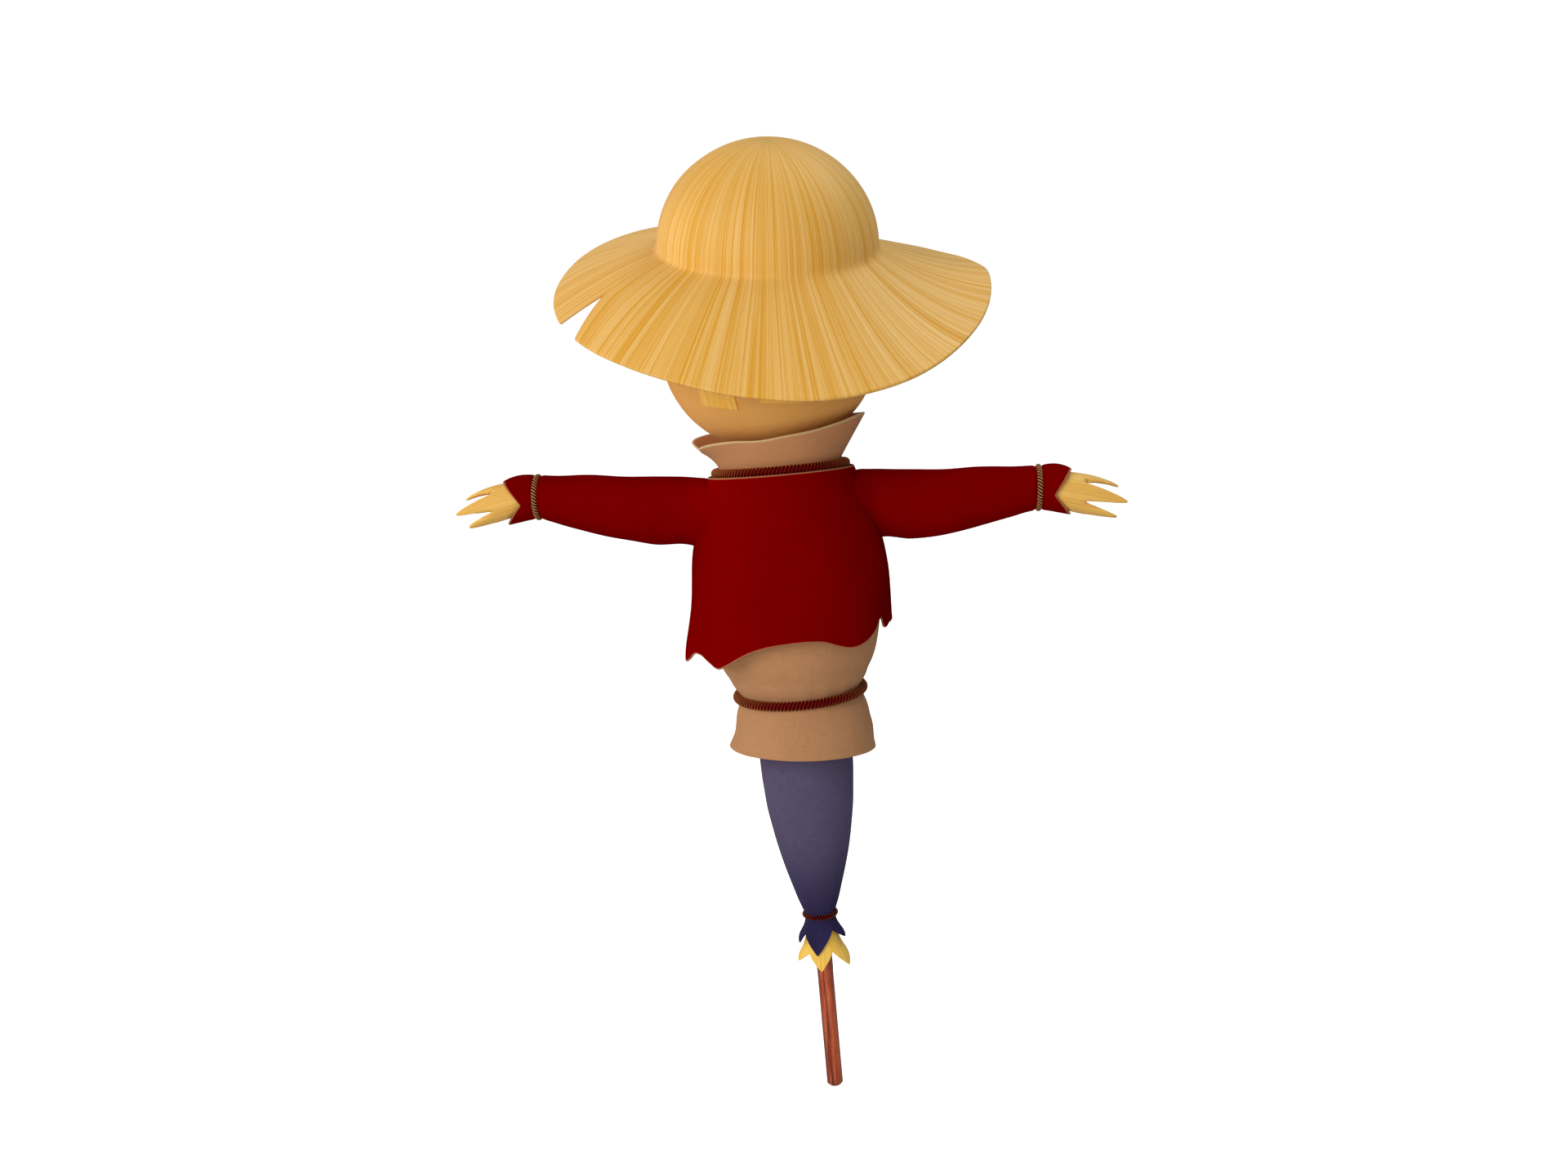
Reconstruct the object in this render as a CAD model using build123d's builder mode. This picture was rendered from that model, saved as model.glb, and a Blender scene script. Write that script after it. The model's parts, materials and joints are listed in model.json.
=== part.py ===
"""Stake-mounted scarecrow figure, built as separate named pieces around a wooden pole.

Frame: millimetres, +Z up along the pole, origin at the centre of the pole's foot. The figure faces -Y.
Left is -X and right is +X, as seen by somebody facing the figure.
"""

from build123d import *
from math import cos, radians, sin, sqrt
import os

os.makedirs("parts", exist_ok=True)

# ---------------------------------------------------------------- driving dimensions
CLOTH = 2.0  # thickness of the sewn cloth
GAP = 0.6  # free space left between stuffing and cloth

# pole
FOOT_R = 8.5  # stake end that goes into a ground socket
POLE_R = 8.8
FOOT_TOP = 130.0
SHOULDER_Z = 690.0  # step that carries the head
SPIGOT_R = 6.0
SPIGOT_TOP = 767.0

# screw that keeps the head on its spigot
SCREW_R = 2.0
SCREW_LENGTH = 24.0

# crossbar and its pivot
BAR_Z = 638.7
BAR_Y = 9.8  # the bar passes behind the pole's axis
BAR_R = 6.0
BAR_HALF = 284.0
BAR_TILT = 4.0  # degrees, right arm low
FLAT_Y = 5.0  # flat on the back of the pole
BAR_FRONT_Y = 5.4
BAR_BACK_Y = 14.6
BOLT_R = 2.5
BOLT_HEAD_R = 5.5
BOLT_BACK_Y = 22.0
RUNNING = 0.05  # radial clearance of a turning fit

# sleeve stations along the arm: distance from the pole, centre height, half height, half depth
SLEEVE = [(112, -16.0, 35.0, 29.0), (150, -14.4, 34.4, 29.0)]
SLEEVE += [(200, -8.4, 30.3, 27.5), (246, -1.4, 23.5, 23.0)]
WRIST_X = 257.0
WRIST = (WRIST_X, 0.0, 18.0, 18.0)
CUFF = [(269, -0.6, 22.8, 22.8), (290, -4.0, 25.0, 25.0)]
WRIST_ROPE = (21.2, 2.6)  # ring radius, rope radius
CUFF_NOTCH_X = 277.0

# hand, along its own axis that droops from the wrist
HAND_START = 264.0
HAND_DROOP = 12.0
FINGER_GAPS = (45.0, -21.0, -87.0, -150.0, 129.0)  # azimuth of each gap, 0 faces forward, 90 is up
FINGER_ROOT = 44.0
FINGER_TIP = 82.0

# hat: a half-round crown tipped forward and to the right, over a drooping brim
HAT_CENTRE = (6.8, 0.5, 885.5)
HAT_FORWARD = 20.5
HAT_SIDE = 6.0
CROWN_R = 111.0
CROWN_HEIGHT = 104.5
STRAW = 4.0  # thickness of the plaited straw
NOTCH_AZIMUTH = 206.8
NOTCH_HALF_ANGLE = 5.9
NOTCH_ROOT_R = 168.0

# head
FACE_TURN = -9.5  # degrees, the face looks a little to the left
EYE_SPREAD = 18.6  # degrees from the middle of the face to each eye
EYE_SIZE = 40.0
EYE_CORNER = 3.0
EYE_BOTTOM = 729.0

# clothes around the pole: (radius, height) of the outside
HEAD = [(10.2, 676.4), (40, 683.6), (75, 705.9), (98, 737.3), (108.5, 775), (107.8, 800), (100.5, 832)]
HEAD += [(96, 850), (94, 872), (92.5, 890), (86, 914), (71, 938), (43, 959), (0, 967.5)]
TUNIC = [(78, 360), (73, 383), (69, 402), (64.5, 420), (61.5, 432), (64.5, 442), (76, 460), (85, 483)]
TUNIC += [(89, 510), (90, 545), (87, 580), (78, 615), (67, 638), (54, 649), (36, 653.5), (12, 654.5)]
SHIRT = [(106, 455), (105, 480), (103.5, 510), (102.5, 540), (99.5, 572), (94, 605), (86.5, 635)]
SHIRT += [(80.5, 649), (75, 656), (65.2, 659.5)]
COLLAR = [(62.3, 657), (62.1, 664), (62.9, 669.5), (66.0, 676.5), (72.5, 686), (81, 698.5), (91, 716)]
LEG = [(54, 427), (51, 400), (48.4, 358), (47.8, 340), (45.2, 311), (37.7, 268), (26.6, 226)]
LEG += [(17.6, 200), (14.4, 192), (16.4, 184), (21.5, 168), (26.5, 151)]
FOOT_STRAW = [(11.9, 201), (11.9, 192), (13.4, 183), (18.0, 168), (23.6, 152), (28.4, 137)]

NECK_ROPE = (67.0, 664.4, 4.2)  # ring radius, height, rope radius
WAIST_ROPE = (65.9, 432.5, 4.3)
ANKLE_ROPE = (16.9, 192.0, 2.3)

ARM = Plane(
    origin=(0, 0, BAR_Z),
    x_dir=(cos(radians(BAR_TILT)), 0, -sin(radians(BAR_TILT))),
    z_dir=(sin(radians(BAR_TILT)), 0, cos(radians(BAR_TILT))),
)
ARM_MIDDLE = Plane(origin=ARM.origin, z_dir=ARM.x_dir)
_side = sin(radians(HAT_SIDE))
HAT_UP = Vector(
    _side,
    -sin(radians(HAT_FORWARD)) * cos(radians(HAT_SIDE)),
    cos(radians(HAT_FORWARD)) * cos(radians(HAT_SIDE)),
)
HAT = Plane(origin=HAT_CENTRE, x_dir=Vector(1, 0, 0) - HAT_UP * _side, z_dir=HAT_UP)


# ---------------------------------------------------------------- helpers
def inset(points, distance):
    """The same (radius, height) outline moved square to itself towards the pole."""
    moved = []
    for i, (r, z) in enumerate(points):
        before = points[max(i - 1, 0)]
        after = points[min(i + 1, len(points) - 1)]
        dr = after[0] - before[0]
        dz = after[1] - before[1]
        length = sqrt(dr * dr + dz * dz)
        turn = 1 if points[-1][1] > points[0][1] else -1
        if r == 0:
            moved.append((0, z - distance))
        else:
            moved.append((r - turn * distance * dz / length, z + turn * distance * dr / length))
    return moved


def ring_of_cloth(outside, thickness):
    """A closed shell of cloth turned around the pole from its outside outline."""
    inside = inset(outside, thickness)
    with BuildPart() as shell:
        with BuildSketch(Plane.XZ):
            with BuildLine():
                Spline(*outside)
                Line(outside[-1], inside[-1])
                Spline(*inside[::-1])
                Line(inside[0], outside[0])
            make_face()
        revolve(axis=Axis.Z)
    return shell.part


def filling(outside):
    """A solid of stuffing turned around the pole, from an outline that runs upwards."""
    with BuildPart() as solid:
        with BuildSketch(Plane.XZ):
            with BuildLine():
                Spline(*outside)
                if outside[-1][0] > 0:
                    Line(outside[-1], (0, outside[-1][1]))
                Polyline((0, outside[-1][1]), (0, outside[0][1]), outside[0])
            make_face()
        revolve(axis=Axis.Z)
    return solid.part


def rope_ring(plane, ring_radius, rope_radius):
    """A loop of rope lying in a plane, around its origin."""
    with BuildPart() as ring:
        with BuildSketch(Plane(origin=plane.origin, x_dir=plane.x_dir, z_dir=-plane.y_dir)):
            with Locations((ring_radius, 0)):
                Circle(rope_radius)
        revolve(axis=Axis(plane.origin, plane.z_dir))
    return ring.part


def level(height):
    """A horizontal plane on the pole's axis."""
    return Plane.XY.offset(height)


def along_arm(x, z=0.0, y=BAR_Y):
    """A plane square to the arm, at a distance from the pole."""
    return Plane(origin=ARM.from_local_coords((x, y, z)), x_dir=(0, 1, 0), z_dir=ARM.x_dir)


def sleeve_solid(stations, shrink, longer=0.0):
    """The solid inside a run of sleeve stations, drawn in by shrink and made longer at both ends."""
    with BuildPart() as solid:
        for x, centre, half_height, half_depth in stations:
            reach = -longer if (x == stations[0][0]) else (longer if x == stations[-1][0] else 0)
            with BuildSketch(along_arm(x + reach, centre)):
                Ellipse(half_depth - shrink, half_height - shrink)
        loft(ruled=stations[0][0] > 200)
    return solid.part


def save(part, name):
    """Labels a finished piece and writes it as parts/NAME.step."""
    part.label = name
    export_step(part, f"parts/{name}.step")


def save_pair(part, name):
    """Writes a right-hand piece and its mirror image across the pole."""
    save(part, f"right_{name}")
    save(mirror(part, about=ARM_MIDDLE), f"left_{name}")


# ---------------------------------------------------------------- pole, crossbar and their fastening
with BuildPart() as pole:
    with BuildSketch(Plane.XZ):
        with BuildLine():
            Polyline(
                (0, 0),
                (FOOT_R - 2.5, 0),
                (FOOT_R, 2.5),
                (FOOT_R, FOOT_TOP),
                (POLE_R, FOOT_TOP),
                (POLE_R, SHOULDER_Z),
                (SPIGOT_R, SHOULDER_Z),
                (SPIGOT_R, SPIGOT_TOP),
                (0, SPIGOT_TOP),
                (0, 0),
            )
        make_face()
    revolve(axis=Axis.Z)
    with BuildSketch(Plane.XZ.offset(-FLAT_Y)):
        with Locations((0, BAR_Z)):
            Rectangle(4 * POLE_R, 34)
    extrude(amount=-10, mode=Mode.SUBTRACT)
    with BuildSketch(Plane.XZ.offset(POLE_R - 1.0)):
        with Locations((0, BAR_Z)):
            Circle(BOLT_HEAD_R + 0.7)
    extrude(amount=5, mode=Mode.SUBTRACT)
    with BuildSketch(Plane.XZ):
        with Locations((0, BAR_Z)):
            Circle(BOLT_R + RUNNING)
    extrude(amount=20, both=True, mode=Mode.SUBTRACT)
    with BuildSketch(level(SPIGOT_TOP)):
        Circle(SCREW_R + 0.02)
    extrude(amount=-SCREW_LENGTH - 2, mode=Mode.SUBTRACT)
save(pole.part, "pole")

with BuildPart() as crossbar:
    with BuildSketch(along_arm(-BAR_HALF)):
        Circle(BAR_R)
    extrude(amount=2 * BAR_HALF)
    chamfer(crossbar.edges().filter_by(GeomType.CIRCLE), 1.5)
    for plane_y, depth in ((BAR_FRONT_Y, 6), (BAR_BACK_Y, -6)):
        with BuildSketch(Plane(origin=(0, plane_y, BAR_Z), x_dir=ARM.x_dir, z_dir=(0, -1, 0))):
            Rectangle(22, 20)
        extrude(amount=depth, mode=Mode.SUBTRACT)
    with BuildSketch(Plane.XZ):
        with Locations((0, BAR_Z)):
            Circle(BOLT_R + RUNNING)
    extrude(amount=20, both=True, mode=Mode.SUBTRACT)
save(crossbar.part, "crossbar")

BOLT_FACE_Y = 1.0 - POLE_R
with BuildPart() as pivot_bolt:
    with BuildSketch(Plane.XZ.offset(-BOLT_BACK_Y)):
        with Locations((0, BAR_Z)):
            Circle(BOLT_R)
    extrude(amount=BOLT_BACK_Y - BOLT_FACE_Y)
    with BuildSketch(Plane.XZ.offset(-BOLT_FACE_Y)):
        with Locations((0, BAR_Z)):
            Circle(BOLT_HEAD_R)
    extrude(amount=2.6)
    fillet(pivot_bolt.faces().sort_by(Axis.Y)[0].edges(), 2.2)
save(pivot_bolt.part, "pivot_bolt")

with BuildPart() as pivot_washer:
    with BuildSketch(Plane.XZ.offset(-BAR_BACK_Y - 0.1)):
        with Locations((0, BAR_Z)):
            Circle(5.6)
            Circle(BOLT_R + 0.15, mode=Mode.SUBTRACT)
    extrude(amount=-1.0)
save(pivot_washer.part, "pivot_washer")

with BuildPart() as pivot_nut:
    with BuildSketch(Plane.XZ.offset(-BAR_BACK_Y - 1.2)):
        with Locations((0, BAR_Z)):
            RegularPolygon(4.0, 6, major_radius=False)
            Circle(BOLT_R + 0.02, mode=Mode.SUBTRACT)
    extrude(amount=-4.0)
save(pivot_nut.part, "pivot_nut")

# ---------------------------------------------------------------- head
HUB_R = 13.0
HUB_START = SHOULDER_Z + 0.3
HUB_TOP = SPIGOT_TOP - 0.3
with BuildPart() as head_hub:
    with BuildSketch(level(HUB_START)):
        Circle(HUB_R)
        Circle(SPIGOT_R + RUNNING, mode=Mode.SUBTRACT)
    extrude(amount=HUB_TOP - HUB_START)
save(head_hub.part, "head_hub")

with BuildPart() as hub_washer:
    with BuildSketch(level(SPIGOT_TOP + 0.1)):
        Circle(HUB_R - 2)
        Circle(SCREW_R + 0.3, mode=Mode.SUBTRACT)
    extrude(amount=1.2)
save(hub_washer.part, "hub_washer")

with BuildPart() as hub_screw:
    with BuildSketch(level(SPIGOT_TOP + 1.4)):
        Circle(4.6)
    extrude(amount=2.4)
    fillet(hub_screw.faces().sort_by(Axis.Z)[-1].edges(), 1.8)
    with BuildSketch(level(SPIGOT_TOP + 1.4)):
        Circle(SCREW_R)
    extrude(amount=-SCREW_LENGTH)
    with BuildSketch(level(SPIGOT_TOP + 3.8)):
        Rectangle(8, 1.0)
        Rectangle(1.0, 8)
    extrude(amount=-1.0, mode=Mode.SUBTRACT)
save(hub_screw.part, "hub_screw")

save(ring_of_cloth(HEAD, CLOTH), "head_sack")

with BuildPart() as head_stuffing:
    add(filling(inset(HEAD, CLOTH + GAP)))
    with BuildSketch(level(670)):
        Circle(HUB_R + 0.3)
    extrude(amount=SPIGOT_TOP + 6 - 670, mode=Mode.SUBTRACT)
save(head_stuffing.part, "head_stuffing")

# each eye is a square of woven straw that follows the head
for name, side, lean in (("left_eye", -1, -11), ("right_eye", 1, -5)):
    azimuth = radians(-90 + FACE_TURN + side * EYE_SPREAD)
    outward = Vector(cos(azimuth), sin(azimuth), 0)
    across = Vector(-sin(azimuth), cos(azimuth), 0)
    with BuildPart() as eye:
        start = outward * 60 + Vector(0, 0, EYE_BOTTOM + EYE_SIZE / 2)
        with BuildSketch(Plane(origin=start, x_dir=across, z_dir=outward)):
            RectangleRounded(EYE_SIZE, EYE_SIZE, EYE_CORNER, rotation=lean)
        extrude(amount=70)
        add(filling(inset(HEAD, -2.0)), mode=Mode.INTERSECT)
        add(filling(inset(HEAD, -0.3)), mode=Mode.SUBTRACT)
    save(eye.part, name)

# ---------------------------------------------------------------- hat
def brim_rim(azimuth):
    """Radius of the brim's edge, and how far it hangs below the crown's foot, in the hat's frame."""
    a = radians(azimuth)
    radius = 221.3 + 3.4 * cos(a) + 8.7 * sin(a)
    droop = 51.1 - 22.1 * sin(a) + 1.6 * cos(a) - 8.1 * cos(2 * a) + 0.4 * sin(2 * a)
    return radius, droop - 6.4 * cos(3 * a) - 1.5 * sin(3 * a)


def brim_outline(azimuth, steps=5):
    """Top and underside of the brim in the radial plane at an azimuth, as (radius, height) points."""
    radius, droop = brim_rim(azimuth)
    curl = -0.05 + 0.4 * cos(radians(azimuth))
    inner = CROWN_R - STRAW + 0.2
    top = []
    for i in range(steps):
        t = i / (steps - 1)
        top.append((inner + t * (radius - inner), -0.2 - droop * (t + curl * t * (1 - t))))
    under = inset(top, STRAW)
    under[0] = (inner, top[0][1] - 1.2 * STRAW)
    return top, under


def brim_half(first, sections=9):
    """Half of the brim's ring, lofted through radial sections."""
    with BuildPart() as half:
        for i in range(sections):
            azimuth = first + 180 * i / (sections - 1)
            outward = HAT.x_dir * cos(radians(azimuth)) + HAT.y_dir * sin(radians(azimuth))
            top, under = brim_outline(azimuth)
            with BuildSketch(Plane(origin=HAT.origin, x_dir=outward, z_dir=outward.cross(HAT.z_dir))):
                with BuildLine():
                    Spline(*top)
                    Line(top[-1], under[-1])
                    Spline(*under[::-1])
                    Line(under[0], top[0])
                make_face()
        loft()
    return half.part


with BuildPart() as hat_brim:
    add(brim_half(0))
    add(brim_half(180))
    with BuildSketch(HAT.offset(-120)):
        with BuildLine():
            corners = []
            for turn, reach in ((0, NOTCH_ROOT_R), (-NOTCH_HALF_ANGLE, 250), (NOTCH_HALF_ANGLE, 250)):
                a = radians(NOTCH_AZIMUTH + turn)
                corners.append((reach * cos(a), reach * sin(a)))
            Polyline(*corners, corners[0])
        make_face()
    extrude(amount=150, mode=Mode.SUBTRACT)
save(hat_brim.part, "hat_brim")

def dome(width, height, steps=6):
    """Points of a quarter ellipse from its foot to its top."""
    points = [(width, 0)]
    for i in range(1, steps):
        a = radians(90 * i / steps)
        points.append((width * cos(a), height * sin(a)))
    return points + [(0, height)]


with BuildPart() as hat_crown:
    with BuildSketch(Plane(origin=HAT.origin, x_dir=HAT.x_dir, z_dir=-HAT.y_dir)):
        with BuildLine():
            outside = Spline(*dome(CROWN_R, CROWN_HEIGHT), tangents=((0, 1), (-1, 0)))
            inside = Spline(*dome(CROWN_R - STRAW, CROWN_HEIGHT - STRAW), tangents=((0, 1), (-1, 0)))
            Line(inside @ 0, outside @ 0)
            Line(inside @ 1, outside @ 1)
        make_face()
    revolve(axis=Axis(HAT.origin, HAT.z_dir))
save(hat_crown.part, "hat_crown")

with BuildPart() as hat_sweatband:
    with BuildSketch(HAT.offset(0.5)):
        Circle(105.6)
        Circle(104.2, mode=Mode.SUBTRACT)
    extrude(amount=15)
save(hat_sweatband.part, "hat_sweatband")

# ---------------------------------------------------------------- body under the shirt
ARM_SLOT = (30.0, 46.0)  # depth and height of the clearance around the bar
with BuildPart() as torso_stuffing:
    add(filling([p for p in inset(TUNIC, CLOTH + GAP) if p[1] > 430]))
    with BuildSketch(level(380)):
        Circle(POLE_R + GAP)
    extrude(amount=300, mode=Mode.SUBTRACT)
    with BuildSketch(along_arm(-120)):
        Rectangle(*ARM_SLOT)
    extrude(amount=240, mode=Mode.SUBTRACT)
    with BuildSketch(Plane.XZ.offset(20)):
        with Locations((0, BAR_Z)):
            Rectangle(20, 20)
    extrude(amount=-60, mode=Mode.SUBTRACT)
save(torso_stuffing.part, "torso_stuffing")

with BuildPart() as tunic:
    add(ring_of_cloth(TUNIC, CLOTH))
    with BuildSketch(along_arm(-120)):
        Rectangle(*ARM_SLOT)
    extrude(amount=240, mode=Mode.SUBTRACT)
    # the hem is cut aslant, high on the left
    with BuildSketch(Plane.XZ.offset(-120)):
        with BuildLine():
            Polyline((-120, 385), (120, 367), (120, 300), (-120, 300), (-120, 385))
        make_face()
    extrude(amount=240, mode=Mode.SUBTRACT)
save(tunic.part, "tunic")

with BuildPart() as collar:
    add(ring_of_cloth(COLLAR, CLOTH))
    with BuildSketch(Plane.XZ.offset(-120)):
        with BuildLine():
            Spline((-120, 692), (-40, 696), (10, 698), (60, 705), (120, 716))
            Polyline((120, 716), (120, 760), (-120, 760), (-120, 692))
        make_face()
    extrude(amount=240, mode=Mode.SUBTRACT)
save(collar.part, "collar")

save(rope_ring(level(NECK_ROPE[1]), NECK_ROPE[0], NECK_ROPE[2]), "neck_rope")
save(rope_ring(level(WAIST_ROPE[1]), WAIST_ROPE[0], WAIST_ROPE[2]), "waist_rope")
save(rope_ring(level(ANKLE_ROPE[1]), ANKLE_ROPE[0], ANKLE_ROPE[2]), "ankle_rope")

# ---------------------------------------------------------------- shirt
HEM = [(-130, 484), (-105, 480), (-90, 484), (-72, 476), (-52, 485), (-23, 496), (10, 499)]
HEM += [(40, 496), (64, 487.5), (90, 506), (105, 494), (130, 488)]
with BuildPart() as shirt_body:
    add(ring_of_cloth(SHIRT, CLOTH))
    with BuildSketch(Plane.XZ.offset(-120)):
        with BuildLine():
            Spline(*HEM)
            Polyline(HEM[-1], (130, 400), (-130, 400), HEM[0])
        make_face()
    extrude(amount=240, mode=Mode.SUBTRACT)
    with BuildSketch(along_arm(-130)):
        Ellipse(22, 26)
    extrude(amount=260, mode=Mode.SUBTRACT)
save(shirt_body.part, "shirt_body")

with BuildPart() as right_sleeve:
    add(sleeve_solid(SLEEVE, 0))
    add(sleeve_solid([SLEEVE[-1], WRIST, *CUFF], 0))
    add(sleeve_solid(SLEEVE, CLOTH, 0.5), mode=Mode.SUBTRACT)
    add(sleeve_solid([SLEEVE[-1], WRIST, *CUFF], CLOTH, 0.5), mode=Mode.SUBTRACT)
    # a V cut in the front and back of the cuff leaves a point at its top and its bottom
    with BuildSketch(Plane(origin=ARM.from_local_coords((0, -60, 0)), x_dir=ARM.x_dir, z_dir=(0, -1, 0))):
        with BuildLine():
            Polyline((CUFF_NOTCH_X, -8), (300, 26), (300, -34), (CUFF_NOTCH_X, -8))
        make_face()
    extrude(amount=-140, mode=Mode.SUBTRACT)
save_pair(right_sleeve.part, "sleeve")

with BuildPart() as right_arm_stuffing:
    add(sleeve_solid(SLEEVE, CLOTH + GAP))
    with BuildSketch(along_arm(100)):
        Circle(BAR_R + GAP)
    extrude(amount=160, mode=Mode.SUBTRACT)
save_pair(right_arm_stuffing.part, "arm_stuffing")

save_pair(rope_ring(along_arm(WRIST_X), *WRIST_ROPE), "wrist_rope")

# ---------------------------------------------------------------- hands
HAND_PROFILE = [(0, 8.5), (8, 13.0), (20, 16.6), (32, 18.6), (46, 19.0), (64, 18.2), (FINGER_TIP, 16.0)]
HAND_WALL = 3.2
HAND_HOLLOW = 24.0  # the bound butt is solid this far
hand_axis = ARM.x_dir * cos(radians(HAND_DROOP)) - ARM.z_dir * sin(radians(HAND_DROOP))
HAND = Plane(origin=ARM.from_local_coords((HAND_START, BAR_Y, 0)), x_dir=hand_axis, z_dir=(0, -1, 0))
with BuildPart() as right_hand:
    with BuildSketch(HAND):
        with BuildLine():
            Spline(*HAND_PROFILE)
            end = (FINGER_TIP, HAND_PROFILE[-1][1] - HAND_WALL / 2)
            Polyline(
                HAND_PROFILE[-1],
                end,
                (HAND_HOLLOW + 6, HAND_PROFILE[3][1] - HAND_WALL),
                (HAND_HOLLOW, 0),
                (0, 0),
                HAND_PROFILE[0],
            )
        make_face()
    revolve(axis=Axis(HAND.origin, hand_axis))
    with BuildSketch(along_arm(HAND_START - 2)):
        Circle(BAR_R + RUNNING)
    extrude(amount=BAR_HALF - HAND_START + 2.6, mode=Mode.SUBTRACT)
    for gap in FINGER_GAPS:
        a = radians(gap)
        radial = HAND.z_dir * cos(a) + HAND.y_dir * sin(a)
        with BuildSketch(Plane(origin=HAND.origin, x_dir=hand_axis, z_dir=radial)):
            with BuildLine():
                tip = FINGER_TIP + 1
                Polyline((FINGER_ROOT, 0), (tip, 10.2), (tip, -10.2), (FINGER_ROOT, 0))
            make_face()
        extrude(amount=30, mode=Mode.SUBTRACT)
save_pair(right_hand.part, "hand")

# ---------------------------------------------------------------- leg and foot
def zigzag(points, first, bottom, notch_top, half_width):
    """Wedges that cut a flared hem into points, the first notch at an azimuth."""
    with BuildPart() as wedges:
        for i in range(points):
            a = radians(first + 360 / points * i)
            outward = Vector(cos(a), sin(a), 0)
            with BuildSketch(Plane(origin=(0, 0, 0), x_dir=Vector(-sin(a), cos(a), 0), z_dir=outward)):
                with BuildLine():
                    Polyline((0, notch_top), (-half_width, bottom), (half_width, bottom), (0, notch_top))
                make_face()
            extrude(amount=40)
    return wedges.part


with BuildPart() as trouser_leg:
    add(ring_of_cloth(LEG, CLOTH))
    add(zigzag(4, 217, 150, 175, 17.5), mode=Mode.SUBTRACT)
save(trouser_leg.part, "trouser_leg")

with BuildPart() as leg_stuffing:
    add(filling([p for p in inset(LEG, CLOTH + GAP) if p[1] > 205][::-1]))
    with BuildSketch(level(190)):
        Circle(POLE_R + GAP)
    extrude(amount=260, mode=Mode.SUBTRACT)
save(leg_stuffing.part, "leg_stuffing")

with BuildPart() as straw_foot:
    add(ring_of_cloth(FOOT_STRAW, 1.8))
    add(zigzag(5, 231, 136, 155, 15.5), mode=Mode.SUBTRACT)
save(straw_foot.part, "straw_foot")
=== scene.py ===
"""Looks of the scarecrow figure: cloth, straw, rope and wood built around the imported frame.

Shapes are worked out in millimetres in the row's frame and turned into metres when a mesh is made.
"""

import json
from math import atan2, cos, degrees, pi, radians, sin, sqrt

import bmesh
import bpy
import numpy as np
from mathutils import Matrix, Vector


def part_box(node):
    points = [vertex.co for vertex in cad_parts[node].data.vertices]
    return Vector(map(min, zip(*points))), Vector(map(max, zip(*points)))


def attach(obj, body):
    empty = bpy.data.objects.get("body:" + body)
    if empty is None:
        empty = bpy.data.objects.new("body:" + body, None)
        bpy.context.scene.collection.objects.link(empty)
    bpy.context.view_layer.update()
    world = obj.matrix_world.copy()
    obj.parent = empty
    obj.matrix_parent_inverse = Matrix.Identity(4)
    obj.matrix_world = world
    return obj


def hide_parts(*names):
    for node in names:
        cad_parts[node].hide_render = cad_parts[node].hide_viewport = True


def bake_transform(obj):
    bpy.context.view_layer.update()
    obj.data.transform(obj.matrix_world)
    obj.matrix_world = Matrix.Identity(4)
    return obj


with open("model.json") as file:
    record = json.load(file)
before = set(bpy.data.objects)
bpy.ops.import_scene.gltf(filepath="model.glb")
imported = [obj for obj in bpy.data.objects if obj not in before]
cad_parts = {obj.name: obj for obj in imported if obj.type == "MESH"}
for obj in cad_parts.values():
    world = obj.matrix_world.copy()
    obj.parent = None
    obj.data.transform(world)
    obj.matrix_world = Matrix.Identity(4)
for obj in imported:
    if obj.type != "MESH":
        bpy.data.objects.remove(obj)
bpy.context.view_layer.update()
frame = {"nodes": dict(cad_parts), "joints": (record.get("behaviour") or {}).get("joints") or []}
MM = 0.001
joints = {j["name"]: j for j in frame["joints"]}


# ---------------------------------------------------------------- reading the frame
def box_mm(node):
    """Lowest and highest corner of a CAD node, in millimetres."""
    low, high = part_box(node)
    return np.array(low) / MM, np.array(high) / MM


def middle(node):
    """Centre of a CAD node's box, in millimetres."""
    low, high = box_mm(node)
    return (low + high) / 2


CROWN_R = 111.0
CROWN_HEIGHT = 104.5
hat_up = np.array(joints["hat_lift"]["axis"])
crown_low, crown_high = box_mm("hat_crown")
# where an ellipsoid's half reaches furthest along each axis of the frame
crown_reach = np.sqrt(CROWN_R**2 * (1 - hat_up**2) + CROWN_HEIGHT**2 * hat_up**2)
hat_centre = np.array([crown_high[0], crown_low[1], crown_high[2]]) + crown_reach * np.array([-1, 1, -1])
hat_x = np.array([1, 0, 0]) - hat_up * hat_up[0]
hat_x /= np.linalg.norm(hat_x)
hat_y = np.cross(hat_up, hat_x)

arm_pivot = np.array(joints["crossbar_tilt"]["pos_m"]) / MM
arm_x = np.array(joints["right_hand_twist"]["axis"])
arm_z = np.cross(arm_x, (0, 1, 0))


def at_arm(x, y, z):
    """Row-frame points from distances along, behind and above the crossbar's pivot."""
    parts = [np.multiply.outer(np.asarray(v, float), axis) for v, axis in ((x, arm_x), (z, arm_z))]
    return arm_pivot + parts[0] + parts[1] + np.multiply.outer(np.asarray(y, float), (0, 1, 0))


# ---------------------------------------------------------------- smooth lines
def hermite(px, py, x):
    """Smooth values through points with rising px."""
    px, py = np.asarray(px, float), np.asarray(py, float)
    slope = np.gradient(py, px, axis=0)
    x = np.clip(x, px[0], px[-1])
    i = np.clip(np.searchsorted(px, x, side="right") - 1, 0, len(px) - 2)
    h = px[i + 1] - px[i]
    t = (x - px[i]) / h
    if py.ndim > 1:
        h, t = h[..., None], t[..., None]
    start = py[i] * (1 + 2 * t) * (1 - t) ** 2 + slope[i] * h * t * (1 - t) ** 2
    return start + py[i + 1] * t * t * (3 - 2 * t) + slope[i + 1] * h * t * t * (t - 1)


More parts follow.
